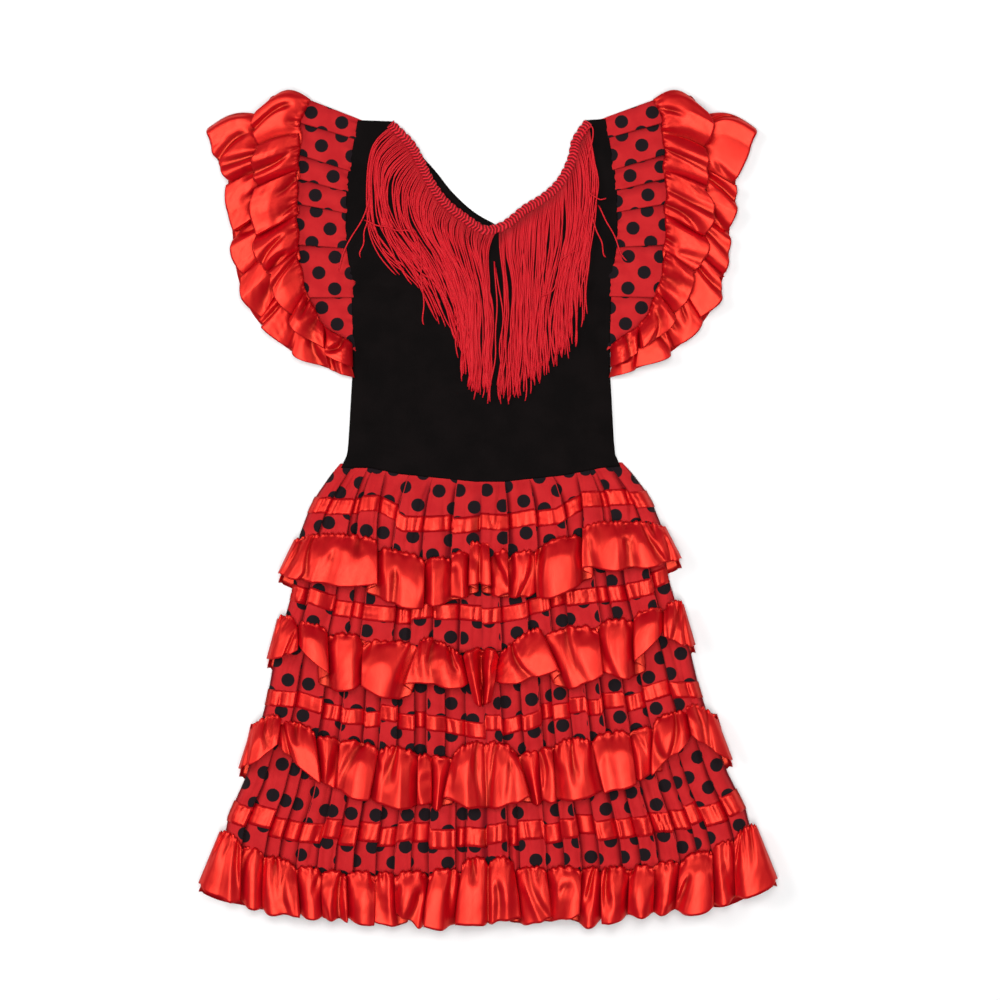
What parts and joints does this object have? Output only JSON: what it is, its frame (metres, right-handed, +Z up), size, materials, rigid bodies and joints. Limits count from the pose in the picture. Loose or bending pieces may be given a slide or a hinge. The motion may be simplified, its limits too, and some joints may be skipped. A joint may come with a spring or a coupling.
{
  "type": "child's flamenco dress laid flat",
  "caption": "Child's dance costume laid flat: knit bodice with braid and fringe at a V neck, frilled cap sleeves, pleated spotted skirt tiers edged with satin ruffles.",
  "frame": {"origin": "on the surface that the dress lies on, under the middle of its outline", "axes": "+Z up from the surface to the dress's front, +Y towards the neck, +X to the right as seen from above"},
  "size_m": [0.4628, 0.6644, 0.0193],
  "materials": {
    "black_knit": "matte stretch knit",
    "spotted_cotton": "matte, with round dark spots",
    "red_satin": "glossy satin",
    "red_cord": "twisted rayon cord"
  },
  "bodies": {
    "root": {"bodice_front": "black_knit", "bodice_back": "black_knit", "neck_braid": "red_cord", "fringe_left": "red_cord", "fringe_right": "red_cord", "tier_1_panel_front": "spotted_cotton", "tier_1_ribbon_front": "red_satin", "tier_1_ruffle_front": "red_satin", "tier_1_panel_back": "spotted_cotton", "tier_1_ribbon_back": "red_satin", "tier_1_ruffle_back": "red_satin", "tier_2_panel_front": "spotted_cotton", "tier_2_ribbon_front": "red_satin", "tier_2_ruffle_front": "red_satin", "tier_2_panel_back": "spotted_cotton", "tier_2_ribbon_back": "red_satin", "tier_2_ruffle_back": "red_satin", "tier_3_panel_front": "spotted_cotton", "tier_3_ribbon_front": "red_satin", "tier_3_ruffle_front": "red_satin", "tier_3_panel_back": "spotted_cotton", "tier_3_ribbon_back": "red_satin", "tier_3_ruffle_back": "red_satin", "tier_4_panel_front": "spotted_cotton", "tier_4_ribbon_front": "red_satin", "tier_4_ruffle_front": "red_satin", "tier_4_panel_back": "spotted_cotton", "tier_4_ribbon_back": "red_satin", "tier_4_ruffle_back": "red_satin", "sleeve_left_yoke": "spotted_cotton", "sleeve_left_ruffle_upper": "red_satin", "sleeve_left_under_panel": "spotted_cotton", "sleeve_left_ruffle_lower": "red_satin", "sleeve_left_back_yoke": "spotted_cotton", "sleeve_left_back_ruffle_upper": "red_satin", "sleeve_left_back_ruffle_lower": "red_satin", "sleeve_right_yoke": "spotted_cotton", "sleeve_right_ruffle_upper": "red_satin", "sleeve_right_under_panel": "spotted_cotton", "sleeve_right_ruffle_lower": "red_satin", "sleeve_right_back_yoke": "spotted_cotton", "sleeve_right_back_ruffle_upper": "red_satin", "sleeve_right_back_ruffle_lower": "red_satin"}
  },
  "joints": []
}
